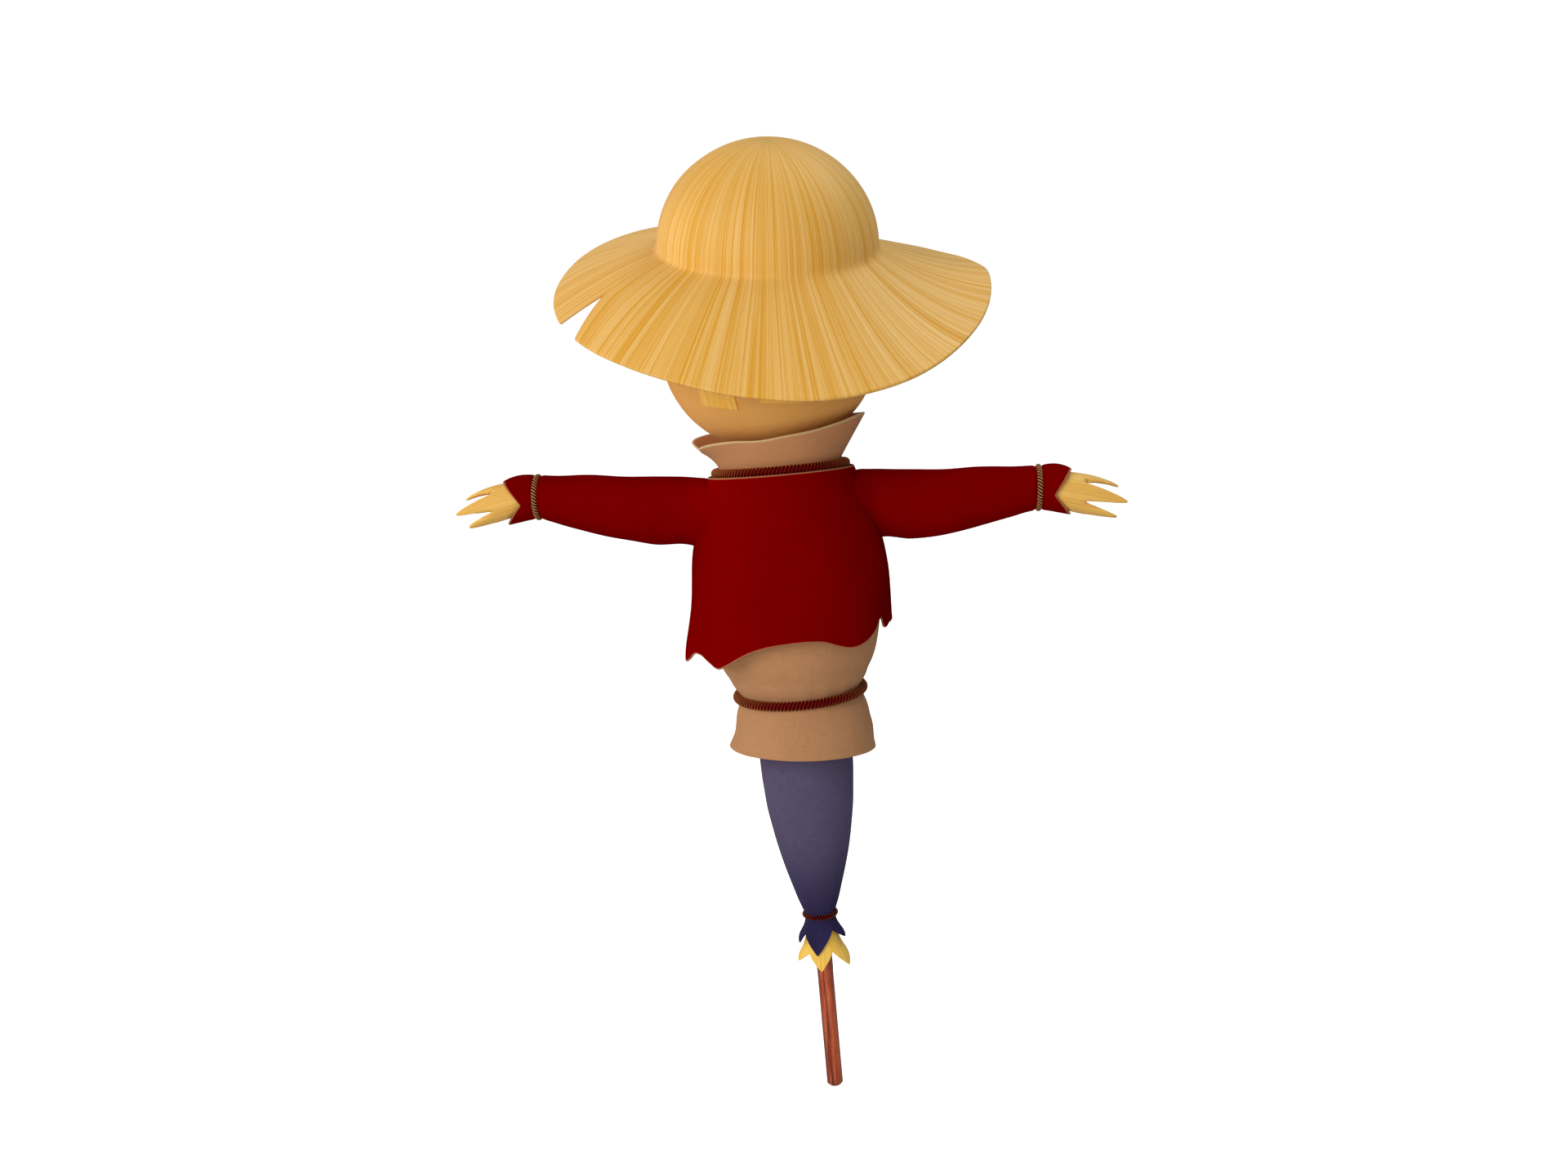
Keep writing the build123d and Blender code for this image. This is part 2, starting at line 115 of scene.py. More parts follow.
def smooth(points, x):
    """Smooth function through (x, value) points."""
    px, py = np.array(points, float).T
    return hermite(px, py, np.asarray(x, float))


def along(points, t):
    """Points at shares t of the length of a smooth line."""
    p = np.array(points, float)
    chord = np.r_[0, np.cumsum(np.linalg.norm(np.diff(p, axis=0), axis=1))]
    return hermite(chord, p, np.asarray(t, float) * chord[-1])


def ring_points(points):
    """(degrees, value) points repeated over three turns."""
    p = sorted(points)
    return [(a + turn, v) for turn in (-360, 0, 360) for a, v in p]


def around(points, angle):
    """Smooth periodic function of an angle in degrees."""
    return smooth(ring_points(points), np.mod(angle, 360))


def zigzag(points, angle):
    """Straight-sided periodic function of an angle in degrees."""
    px, py = np.array(ring_points(points), float).T
    return np.interp(np.mod(angle, 360), px, py)


def step(x, start, end):
    """0 before start, 1 after end, smooth in between."""
    t = np.clip((x - start) / (end - start), 0, 1)
    return t * t * (3 - 2 * t)


def hump(x, middle_x, width):
    """A smooth hump, 1 at its middle."""
    return np.exp(-(((x - middle_x) / width) ** 2))


def degrees_from(azimuth, start):
    """Degrees round from a direction, -180 to 180."""
    return np.mod(azimuth - start + 180, 360) - 180


def waves(terms, a):
    """A sum of waves round an angle in radians, from (waves per turn, cosine part, sine part) terms."""
    return sum(cosine * np.cos(n * a) + sine * np.sin(n * a) for n, cosine, sine in terms)


def hung(profile, t, fixed, hem):
    """Radius and height at shares t, from the hem up, along a profile of (radius, height) points.

    The profile's part below the fixed height is stretched so that it ends at the hem.
    """
    height = along(profile, 1 - t)[..., 1]
    share = np.clip((fixed - height) / (fixed - profile[-1][1]), 0, 1)
    z = np.where(height > fixed, height, fixed - share * (fixed - hem))
    return smooth([(h, r) for r, h in profile[::-1]], z), z


def unevenness(p, size, amount):
    """Soft hand-made unevenness over points, repeatable."""
    q = p / size
    wave = np.sin(1.3 * q[..., 0] + 0.7 * q[..., 2] + 1) * np.sin(1.1 * q[..., 1] - 0.9 * q[..., 2] + 2)
    return amount * (wave + 0.5 * np.sin(2.1 * q[..., 0] - 1.7 * q[..., 1] + 0.6 * q[..., 2]))


# ---------------------------------------------------------------- meshes
def grid_object(name, points, loop, size, grain=None):
    """A quad mesh over a grid of points in mm, with UVs in mm and an optional grain direction field."""
    rows, cols = points.shape[0], points.shape[1] - (1 if loop else 0)
    middle_point = points.reshape(-1, 3).mean(0)
    normal = np.cross(points[:-1, 1:] - points[:-1, :-1], points[1:, :-1] - points[:-1, :-1])
    inward = np.sum(normal * (points[:-1, :-1] - middle_point)) < 0
    faces, uvs = [], []
    width = points.shape[1] - 1
    for i in range(rows - 1):
        for j in range(width):
            k = (j + 1) % cols if loop else j + 1
            quad = [(i, j, j), (i, k, j + 1), (i + 1, k, j + 1), (i + 1, j, j)]
            if inward:
                quad.reverse()
            faces.append([a * cols + b for a, b, _ in quad])
            uvs += [(c / width * size[0], a / (rows - 1) * size[1]) for a, _, c in quad]
    mesh = bpy.data.meshes.new(name)
    mesh.from_pydata((points[:, :cols].reshape(-1, 3) * MM).tolist(), [], faces)
    layer = mesh.uv_layers.new(name="UVMap")
    layer.data.foreach_set("uv", np.array(uvs, np.float32).ravel())
    if grain is not None:
        attribute = mesh.attributes.new("grain", "FLOAT_VECTOR", "POINT")
        attribute.data.foreach_set("vector", grain[:, :cols].reshape(-1).astype(np.float32))
    obj = bpy.data.objects.new(name, mesh)
    bpy.context.scene.collection.objects.link(obj)
    mesh.shade_smooth()
    return obj


def weld(obj):
    """Joins points that coincide and turns every face outwards."""
    shape = bmesh.new()
    shape.from_mesh(obj.data)
    bmesh.ops.remove_doubles(shape, verts=shape.verts, dist=1e-6)
    bmesh.ops.recalc_face_normals(shape, faces=shape.faces)
    shape.to_mesh(obj.data)
    shape.free()


HEM_BAND = 1.8  # width of the pale band along a hem


def sheet(name, place, rows, cols, thickness, materials, size, loop=True, grain=None, joined=False):
    """A sheet with real thickness: place(s, t) gives its outer face, s across and t along, both 0 to 1.

    A second material covers the sheet's two ends and the last millimetres before each.
    """
    levels = np.linspace(0, 1, rows + 1)
    if len(materials) > 1:
        band = HEM_BAND / size[1]
        inner = levels[(levels > 1.3 * band) & (levels < 1 - 1.3 * band)]
        levels = np.r_[0, band, inner, 1 - band, 1]
    s, t = np.meshgrid(np.linspace(0, 1, cols + 1), levels)
    points = place(s, t)
    obj = grid_object(name, points, loop, size, None if grain is None else grain(s, t))
    if joined:
        weld(obj)
    for material in materials:
        obj.data.materials.append(material)
    if len(materials) > 1:
        for face in [*obj.data.polygons[:cols], *obj.data.polygons[-cols:]]:
            face.material_index = 1
    solid = obj.modifiers.new("thickness", "SOLIDIFY")
    solid.thickness = thickness * MM
    solid.offset = -1
    solid.material_offset_rim = len(materials) - 1
    round_edge = obj.modifiers.new("soft_edge", "BEVEL")
    round_edge.width = 0.4 * thickness * MM
    round_edge.segments = 2
    round_edge.limit_method = "ANGLE"
    round_edge.angle_limit = radians(55)
    return obj


def turned(radius, height, azimuth):
    """Points around the pole from their radius, height and azimuth in degrees."""
    a = np.radians(azimuth)
    return np.stack([radius * np.cos(a), radius * np.sin(a), height], -1)


def rope(name, centre, across, up, ring_radius, radius, strands, spacing, material):
    """A closed loop of laid rope: strands wound around a core, in the plane of across and up x across."""
    centre, across, up = (np.asarray(v, float) for v in (centre, across, up))
    other = np.cross(up, across)
    turns = max(1, round(2 * pi * ring_radius / (strands * spacing)))
    steps = turns * 14
    strand_r = radius * 0.47
    reach = radius - strand_r
    a = np.linspace(0, 2 * pi, steps, endpoint=False)
    outward = np.multiply.outer(np.cos(a), across) + np.multiply.outer(np.sin(a), other)
    line = centre + ring_radius * outward
    tubes = [(line, outward, np.tile(up, (steps, 1)), reach * 0.6, 10)]
    for k in range(strands):
        w = turns * a + 2 * pi * k / strands
        side = np.cos(w)[:, None] * outward + np.sin(w)[:, None] * up
        path = line + reach * side
        tangent = np.roll(path, -1, 0) - np.roll(path, 1, 0)
        tangent /= np.linalg.norm(tangent, axis=1)[:, None]
        flat = np.cross(tangent, side)
        tubes.append((path, np.cross(flat, tangent), flat, strand_r, 8))
    verts, faces, uvs = [], [], []
    for path, one, two, tube_r, sides in tubes:
        base = len(verts)
        b = np.linspace(0, 2 * pi, sides, endpoint=False)
        spokes = np.cos(b)[:, None] * one[:, None] + np.sin(b)[:, None] * two[:, None]
        ring = path[:, None] + tube_r * spokes
        verts += (ring.reshape(-1, 3) * MM).tolist()
        for i in range(steps):
            for j in range(sides):
                n, m = (i + 1) % steps, (j + 1) % sides
                faces.append([base + q for q in (i * sides + j, n * sides + j, n * sides + m, i * sides + m)])
                uvs += [(i, j / sides), (i + 1, j / sides), (i + 1, (j + 1) / sides), (i, (j + 1) / sides)]
    mesh = bpy.data.meshes.new(name)
    mesh.from_pydata(verts, [], faces)
    layer = mesh.uv_layers.new(name="UVMap")
    layer.data.foreach_set("uv", np.array(uvs, np.float32).ravel())
    mesh.materials.append(material)
    mesh.shade_smooth()
    obj = bpy.data.objects.new(name, mesh)
    bpy.context.scene.collection.objects.link(obj)
    weld(obj)
    return obj


def place_piece(obj, body, slot, *nodes):
    """The piece rides on a body and stands for CAD nodes; slot is not used."""
    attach(obj, body)
    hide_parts(*nodes)


# ---------------------------------------------------------------- materials
class Paint:
    """One procedural material. Each method adds nodes and returns the socket with the result."""

    def __init__(self, name, **surface):
        self.material = bpy.data.materials.new(name)
        self.material.use_nodes = True
        self.tree = self.material.node_tree
        self.surface = self.tree.nodes["Principled BSDF"]
        for key, value in surface.items():
            self.put(self.surface, key.replace("_", " "), value)

    def put(self, node, key, value):
        """Sets an input to a value or links a socket to it."""
        if isinstance(value, bpy.types.NodeSocket):
            self.tree.links.new(value, node.inputs[key])
        else:
            node.inputs[key].default_value = value

    def node(self, kind, inputs, output=0, **settings):
        """A shader node with its settings and inputs; returns one of its outputs."""
        made = self.tree.nodes.new("ShaderNode" + kind)
        for key, value in settings.items():
            setattr(made, key, value)
        for key, value in inputs.items():
            self.put(made, key, value)
        return made.outputs[output]

    def math(self, operation, a, b=0.0):
        """Arithmetic on two numbers."""
        return self.node("Math", {0: a, 1: b}, operation=operation)

    def stretch(self, vector, scale):
        """A coordinate multiplied along each axis."""
        return self.node("VectorMath", {0: vector, 1: scale}, operation="MULTIPLY")

    def noise(self, vector, scale, detail, rough=0.55):
        """Noise of a coordinate."""
        inputs = {"Vector": self.stretch(vector, scale), "Scale": 1.0, "Detail": detail, "Roughness": rough}
        return self.node("TexNoise", inputs)

    def between(self, value, low, high, to_low=0.0, to_high=1.0):
        """A value rescaled from one range to another, and held inside it."""
        inputs = {"Value": value, "From Min": low, "From Max": high, "To Min": to_low, "To Max": to_high}
        return self.node("MapRange", inputs)

    def mix(self, share, a, b):
        """A colour between two."""
        return self.node("Mix", {0: share, 6: a, 7: b}, 2, data_type="RGBA")

    def bump(self, height, distance, under=None):
        """A normal from a height that is worth a distance in metres, on top of another bump."""
        inputs = {"Height": height, "Distance": distance, "Strength": 1.0}
        if under is not None:
            inputs["Normal"] = under
        return self.node("Bump", inputs)

    def finish(self, colour, roughness, normal):
        """Links the results to the surface."""
        self.put(self.surface, "Base Color", colour)
        self.put(self.surface, "Roughness", roughness)
        self.put(self.surface, "Normal", normal)
        return self.material


def rgb(red, green, blue):
    """A linear colour from screen values 0 to 255."""
    values = [v / 255 for v in (red, green, blue)]
    return (*[v / 12.92 if v <= 0.04045 else ((v + 0.055) / 1.055) ** 2.4 for v in values], 1.0)


def deeper(colour, share):
    """A darker version of a linear colour."""
    return (*[share * c for c in colour[:3]], 1.0)


def cloth(name, dark, light, thread, coarse, twill=0.0, sheen=0.15, shine=0.2, painted_ankle_shade=None):
    """Woven cloth with its own threads, from UVs in millimetres.

    thread is the yarn's spacing, coarse the relief as a share of it, and twill the slant of a twill weave.
    A cloth given a colour for the ankle takes that colour towards the ankle, as painted shade.
    """
    p = Paint(name, Sheen_Weight=sheen, Sheen_Roughness=0.5, Specular_IOR_Level=shine)
    uv = p.node("UVMap", {}, uv_map="UVMap")
    place = p.node("TexCoord", {}, 3)
    wobble = p.math("MULTIPLY", p.noise(uv, (0.25, 0.25, 0), 2.0), 1.2)
    u = p.math("ADD", p.node("SeparateXYZ", {"Vector": uv}, 0), wobble)
    v = p.math("ADD", p.node("SeparateXYZ", {"Vector": uv}, 1), wobble)
    turn = 2 * pi / thread
    if twill:
        slant = p.math("ADD", u, p.math("MULTIPLY", v, twill))
        weave = p.math("SINE", p.math("MULTIPLY", slant, turn))
    else:
        warp = p.math("SINE", p.math("MULTIPLY", u, turn))
        weave = p.math("MULTIPLY", warp, p.math("SINE", p.math("MULTIPLY", v, turn)))
    fine, drawn_out = 0.9 / thread, 0.06 / thread
    slubs = p.math("ADD", p.noise(uv, (fine, drawn_out, 0), 2.0), p.noise(uv, (drawn_out, fine, 0), 2.0))
    cloud = p.noise(place, (9, 9, 9), 4.0)
    shade = p.math("ADD", p.between(cloud, 0.3, 0.7, 0.0, 0.5), p.between(slubs, 0.75, 1.25, 0.0, 0.5))
    colour = p.mix(shade, dark, light)
    colour = p.mix(p.between(weave, -1.0, 0.0, 0.35, 0.0), colour, deeper(dark, 0.45))
    # painted shade: the cloth darkens towards the ankle
    if painted_ankle_shade:
        height = p.node("SeparateXYZ", {"Vector": place}, 2)
        ankle_shade_ramp = {"Value": height, "From Min": 0.31, "From Max": 0.18, "To Min": 0.0, "To Max": 0.8}
        colour = p.mix(p.node("MapRange", ankle_shade_ramp, interpolation_type="SMOOTHSTEP"), colour, painted_ankle_shade)
    threads = p.bump(weave, 0.24 * thread * MM * coarse)
    relief = p.bump(slubs, 0.25 * thread * MM * coarse, under=threads)
    return p.finish(colour, p.between(slubs, 0.7, 1.3, 0.77, 0.93), relief)


def straw(name, base, dark, pale, streak, fine, bump=0.25):
    """Straw laid along the grain attribute; streak and fine set how close its wide and thin streaks lie."""
    p = Paint(name, Sheen_Weight=0.1, Specular_IOR_Level=0.3)
    grain = p.node("Attribute", {}, 1, attribute_name="grain")
    wide = p.noise(grain, (streak, streak, 0.0008), 1.0, 0.5)
    mid = p.noise(grain, (4 * streak, 4 * streak, 0.001), 2.0, 0.5)
    thin = p.noise(grain, (fine, fine, 0.002), 2.0, 0.5)
    fibre = p.noise(grain, (2.2 * fine, 2.2 * fine, 0.25), 2.0)
    colour = p.mix(p.between(mid, 0.52, 0.58), base, dark)
    colour = p.mix(p.between(wide, 0.50, 0.60, 0.0, 0.5), colour, dark)
    colour = p.mix(p.between(thin, 0.54, 0.60, 0.0, 0.7), colour, pale)
    colour = p.mix(p.between(thin, 0.38, 0.43, 0.6, 0.0), colour, dark)
    colour = p.mix(p.between(fibre, 0.2, 0.45, 0.30, 0.0), colour, dark)
    height = p.math("ADD", thin, p.math("MULTIPLY", fibre, 0.5))
    ridges = p.bump(p.math("ADD", height, mid), bump * MM)
    return p.finish(colour, p.between(thin, 0.3, 0.7, 0.65, 0.45), ridges)


def cord(name, painted_groove_shade, base, painted_ridge_highlight, painted_glint):
    """Rope yarn with painted shade between the strands, a painted highlight on their ridges, and thin painted
    glints along the ridges where the rope turns from the eye.
    """
    p = Paint(name, Specular_IOR_Level=0.05)
    uv = p.node("UVMap", {}, uv_map="UVMap")
    # across a strand the coordinate is 0 on its ridge and half a turn at the rope's core
    out = p.math("COSINE", p.math("MULTIPLY", p.node("SeparateXYZ", {"Vector": uv}, 1), 2 * pi))
    fibre = p.noise(uv, (0.5, 14, 0), 3.0)
    facing = p.node("LayerWeight", {"Blend": 0.5}, 1)
    edge = p.between(facing, 0.15, 0.7, 0.0, 0.8)
    # painted shade in the grooves between the strands
    colour = p.mix(p.between(out, 0.72, 0.90), painted_groove_shade, base)
    # painted highlight on each strand's ridge
    colour = p.mix(p.between(out, 0.90, 0.98), colour, painted_ridge_highlight)
    colour = p.mix(p.between(fibre, 0.5, 0.7, 0.0, 0.25), colour, base)
    # painted glint: a thin pale line on the ridge, stronger where the rope turns away from the eye
    colour = p.mix(p.math("MULTIPLY", edge, p.between(out, 0.986, 0.995)), colour, painted_glint)
    return p.finish(colour, p.between(fibre, 0.3, 0.7, 0.6, 0.45), p.bump(fibre, 0.25 * MM))


def wood(name, dark, base, pale, coat_and_painted_sheen, lying=False):
    """Turned wood: grain that runs along the piece, worked out from its own place."""
    p = Paint(name, Specular_IOR_Level=0.3, Coat_Weight=0.4 * coat_and_painted_sheen, Coat_Roughness=0.1)
    place = p.node("TexCoord", {}, 3)
    if lying:
        turned_over = {"Vector": place, "Angle": pi / 2, "Axis": (0, 1, 0)}
        place = p.node("VectorRotate", turned_over, rotation_type="AXIS_ANGLE")
    broad = p.noise(place, (180, 180, 9), 3.0)
    grain = p.noise(place, (900, 900, 22), 4.0, 0.65)
    pores = p.noise(place, (2600, 2600, 90), 2.0)
    colour = p.mix(p.between(broad, 0.35, 0.65), dark, base)
    colour = p.mix(p.between(grain, 0.54, 0.66, 0.0, 0.6), colour, pale)
    colour = p.mix(p.between(pores, 0.25, 0.42, 0.7, 0.0), colour, deeper(dark, 0.35))
    # painted highlight where the wood faces the eye, painted shade towards its sides
    facing = p.node("LayerWeight", {"Blend": 0.5}, 1)
    colour = p.mix(p.between(facing, 0.0, 0.10, 0.6 * coat_and_painted_sheen, 0.0), colour, pale)
    colour = p.mix(p.between(facing, 0.25, 0.8, 0.0, coat_and_painted_sheen), colour, dark)
    height = p.math("ADD", grain, p.math("MULTIPLY", pores, 0.6))
    return p.finish(colour, p.between(grain, 0.3, 0.7, 0.42, 0.30), p.bump(height, 0.25 * MM))


def zinc(name):
    """Zinc-plated steel with fine brushed marks."""
    p = Paint(name, Metallic=1.0)
    place = p.node("TexCoord", {}, 3)
    marks = p.noise(place, (900, 5000, 900), 3.0)
    colour = p.mix(p.between(marks, 0.3, 0.7), rgb(150, 152, 155), rgb(205, 206, 208))
    return p.finish(colour, p.between(marks, 0.3, 0.7, 0.28, 0.45), p.bump(marks, 0.03 * MM))


def fibre_fill(name):
    """Matted polyester fibre."""
    p = Paint(name, Sheen_Weight=0.5, Specular_IOR_Level=0.2)
    place = p.node("TexCoord", {}, 3)
    tufts = p.noise(place, (260, 260, 260), 5.0, 0.7)
    colour = p.mix(p.between(tufts, 0.3, 0.7), rgb(190, 180, 158), rgb(238, 232, 216))
    return p.finish(colour, 0.95, p.bump(tufts, 1.5 * MM))


shirt_cloth = cloth("shirt_cloth", rgb(118, 0, 0), rgb(140, 0, 0), 0.55, 0.4, sheen=0.0, shine=0.0)
shirt_edge = cloth("shirt_edge", rgb(160, 84, 56), rgb(205, 130, 92), 0.55, 0.6)
burlap = cloth("burlap", rgb(194, 140, 100), rgb(216, 162, 120), 1.1, 0.6, sheen=0.05)
collar_cloth = cloth("collar_cloth", rgb(206, 144, 100), rgb(226, 164, 118), 0.9, 0.6, sheen=0.05)
collar_edge = cloth("collar_edge", rgb(226, 192, 140), rgb(240, 210, 165), 0.9, 0.8)
head_cloth = cloth("head_cloth", rgb(252, 178, 96), rgb(255, 196, 112), 0.8, 0.5, sheen=0.05)
# the denim's last colour is painted shade towards the ankle
denim = cloth("denim", rgb(86, 80, 116), rgb(110, 102, 142), 0.7, 0.5, 0.6, 0.0, 0.05, rgb(36, 30, 84))
hat_straw = straw("hat_straw", rgb(238, 188, 100), rgb(226, 164, 44), rgb(244, 202, 130), 0.3, 2.6)
hand_straw = straw("hand_straw", rgb(244, 196, 98), rgb(232, 176, 80), rgb(250, 212, 126), 0.22, 1.2, 0.12)
foot_straw = straw("foot_straw", rgb(255, 212, 96), rgb(248, 192, 68), rgb(255, 228, 124), 0.3, 1.3, 0.12)
eye_straw = straw("eye_straw", rgb(255, 206, 100), rgb(255, 184, 64), rgb(255, 222, 140), 0.35, 1.6, 0.3)
# each rope's last three colours are painted shade, painted highlight and painted glint
dark_rope = cord("dark_rope", rgb(14, 0, 0), rgb(92, 0, 0), rgb(110, 8, 4), rgb(240, 176, 96))
tan_rope = cord("tan_rope", rgb(30, 8, 2), rgb(132, 76, 48), rgb(214, 160, 110), rgb(232, 190, 130))
# the pole's last number sets its coat and the strength of its painted highlight and shade
pole_wood = wood("pole_wood", rgb(100, 18, 4), rgb(210, 90, 48), rgb(252, 172, 132), 0.9)
bar_wood = wood("bar_wood", rgb(170, 130, 90), rgb(205, 165, 120), rgb(225, 190, 150), 0.0, lying=True)
band_cloth = cloth("band_cloth", rgb(90, 60, 36), rgb(120, 84, 52), 1.0, 0.6)
steel = zinc("steel")
fill = fibre_fill("fill")

for node_name, material in (
    ("pole", pole_wood),
    ("crossbar", bar_wood),
    ("head_hub", bar_wood),
    ("pivot_bolt", steel),
    ("pivot_washer", steel),
    ("pivot_nut", steel),
    ("hub_washer", steel),
    ("hub_screw", steel),
    ("hat_sweatband", band_cloth),
):
    cad = frame["nodes"][node_name]
    cad.data.materials.clear()
    cad.data.materials.append(material)

# ---------------------------------------------------------------- head
# the profiles of the pieces around the pole are (radius, height) points
HEAD = [(10, 676.4), (22, 679.5), (38, 686), (56, 696), (71.5, 707.5), (85.3, 721.2), (96.3, 737.3)]
HEAD += [(104.7, 756), (108.6, 775), (109, 787), (107.6, 803), (102.4, 826), (96.8, 846), (94.2, 868)]
HEAD += [(92.4, 890), (86, 914), (71, 938), (43, 959), (20, 965.5), (0.5, 967.5)]
EYE_SIZE = 40.0
EYE_THICKNESS = 1.5


def head_place(s, t):
    """The head sack from its gathered neck to its top."""
    line = along(HEAD, t)
    points = turned(line[..., 0], line[..., 1], 360 * s)
    points[..., :2] *= (1 + unevenness(points, 40, 0.004) * step(line[..., 1], 690, 720))[..., None]
    return points


head = sheet("head_sack", head_place, 90, 180, 2, [head_cloth], (680, 420))
place_piece(head, "head", "head_cloth", "head_sack", "head_stuffing")


def eye(name, node, lean):
    """A square of straw sewn on the face, leaning by an angle in radians."""
    centre = middle(node)
    azimuth = degrees(atan2(centre[1], centre[0]))
    face_line = [(height, radius) for radius, height in HEAD if height < 920]

    def place(s, t):
        across = (s - 0.5) * EYE_SIZE
        rise = (t - 0.5) * EYE_SIZE
        u = across * cos(lean) - rise * sin(lean)
        z = centre[2] + across * sin(lean) + rise * cos(lean)
        radius = smooth(face_line, z) + 2.0
        return turned(radius, z, azimuth + np.degrees(u / radius))

    def along_straw(s, t):
        return np.stack([s * 38, 0 * s + lean * 50, t * 38], -1)

    piece = sheet(name, place, 24, 24, EYE_THICKNESS, [eye_straw], (38, 38), False, along_straw)
    place_piece(piece, "head", "eye_straw", node)


eye("left_eye_patch", "left_eye", radians(-11))
eye("right_eye_patch", "right_eye", radians(-5))

# ---------------------------------------------------------------- hat
NOTCH = 204.4  # azimuth of the notch in the brim
NOTCH_SIDES = (-3.5, 8.3)  # degrees from the notch's root to its two corners at the rim
NOTCH_ROOT = 168.0  # distance of its root from the crown's axis
NOTCH_REACH = 0.08  # share of a turn over which the brim gives way beside it
# the rim's distance from the crown's axis, and how far it hangs below the crown's foot
RIM = [(0, 221.3, 0), (1, 3.4, 8.7)]
DROOP = [(0, 51.1, 0), (1, 1.6, -22.1), (2, -8.1, 0.4), (3, -6.4, -1.5)]


def hat_place(s, t):
    """Crown from its top to its foot, then the brim to its drooping rim, softened where they meet."""
    share = np.clip(2 * t - 1, 0, 1)
    lift = (1 - np.clip(2 * t, 0, 1)) * pi / 2
    on_brim = t > 0.5
    azimuth = NOTCH + 360 * s
    # the notch's two corners open along the rim, so the rim there is worked out twice
    for _ in range(2):
        a = np.radians(azimuth)
        rim = waves(RIM, a)
        # the rim is a little lower behind the right side and higher right at it
        from_right = degrees_from(azimuth, 0)
        droop = waves(DROOP, a) + 3.3 * hump(from_right, 38, 16) - 4.0 * hump(from_right, 6, 10)
        radius = np.where(on_brim, CROWN_R + share * (rim - CROWN_R), CROWN_R * np.cos(lift))
        opened = np.clip((radius - NOTCH_ROOT) / (rim - NOTCH_ROOT), 0, 1) * on_brim
        azimuth = NOTCH + 360 * s + opened * NOTCH_SIDES[1] * np.clip(1 - s / NOTCH_REACH, 0, 1) ** 2
        azimuth = azimuth + opened * NOTCH_SIDES[0] * np.clip(1 - (1 - s) / NOTCH_REACH, 0, 1) ** 2
    curl = -0.05 + 0.4 * np.cos(a) + 0.3 * np.clip(np.cos(a), 0, 1) ** 2
    height = np.where(on_brim, -droop * (share + curl * share * (1 - share)), CROWN_HEIGHT * np.sin(lift))
    for _ in range(2):
        for grid in (radius, height):
            grid[1:-1] = grid[1:-1] / 2 + (grid[:-2] + grid[2:]) / 4
    a = np.radians(azimuth)
    flat = radius * np.cos(a), radius * np.sin(a)
    points = sum(np.multiply.outer(v, axis) for v, axis in zip((*flat, height), (hat_x, hat_y, hat_up)))
    return hat_centre + points + unevenness(points, 25, 0.25)[..., None] * hat_up


def hat_grain(s, t):
    """Straw laid from the crown's top to the rim."""
    a = np.radians(NOTCH + 360 * s)
    return np.stack([40 * np.cos(a), 40 * np.sin(a), 340 * t], -1)


hat = sheet("straw_hat", hat_place, 100, 360, 4, [hat_straw], (700, 340), False, hat_grain, joined=True)
place_piece(hat, "hat", "hat_straw", "hat_crown", "hat_brim")

# ---------------------------------------------------------------- collar and neck rope
# the hem lines are (azimuth, height) points, with azimuth 0 on the right and 270 at the front
COLLAR_HIGH = 712
COLLAR_TOP = [(10, COLLAR_HIGH), (45, 711), (90, 706), (135, 704), (165, 697), (184, 686), (205, 691.5)]
COLLAR_TOP += [(241, 696), (262, 695), (280, 697.6), (299, 700.4), (319, 705.4), (345, COLLAR_HIGH)]
COLLAR_R = 62.3  # at the rope
NECK_Z = middle("neck_rope")[2]


def collar_place(s, t):
    """The collar from just below the neck rope to its flared top."""
    azimuth = 360 * s
    top = around(COLLAR_TOP, azimuth)
    bottom = NECK_Z - 6.5
    z = bottom + (top - bottom) * t
    rise = np.clip((z - (NECK_Z + 5)) / (COLLAR_HIGH - NECK_Z - 5), 0, 1.1)
    left = np.clip(-np.cos(np.radians(azimuth)), 0, 1)
    # the left side bends out to a point, the rest stands nearly straight
    flare = 27.5 * rise * (1 - 0.15 * left) + 30 * left**3 * step(rise, 0.0, 0.7) * rise
    radius = COLLAR_R + flare + unevenness(turned(60 + flare, z, azimuth), 22, 0.35)
    return turned(radius, z, azimuth)


collar = sheet("collar", collar_place, 26, 180, 2, [collar_cloth, collar_edge], (420, 50))
place_piece(collar, "stake", "collar_burlap", "collar")


def tied_rope(name, node, radius, strands, spacing, dip=0.0):
    """A rope tied around the pole where its CAD ring is, tipped down at the front by dip radians."""
    low, high = box_mm(node)
    ring = (high[0] - low[0]) / 2 - radius
    across, up = (0, cos(dip), sin(dip)), (0, -sin(dip), cos(dip))
    piece = rope(name, middle(node), across, up, ring, radius, strands, spacing, dark_rope)
    place_piece(piece, "stake", "dark_rope", node)


tied_rope("neck_cord", "neck_rope", 4.9, 3, 3.6)
tied_rope("waist_cord", "waist_rope", 4.9, 3, 3.6, 0.035)
tied_rope("ankle_cord", "ankle_rope", 2.5, 3, 3.2)

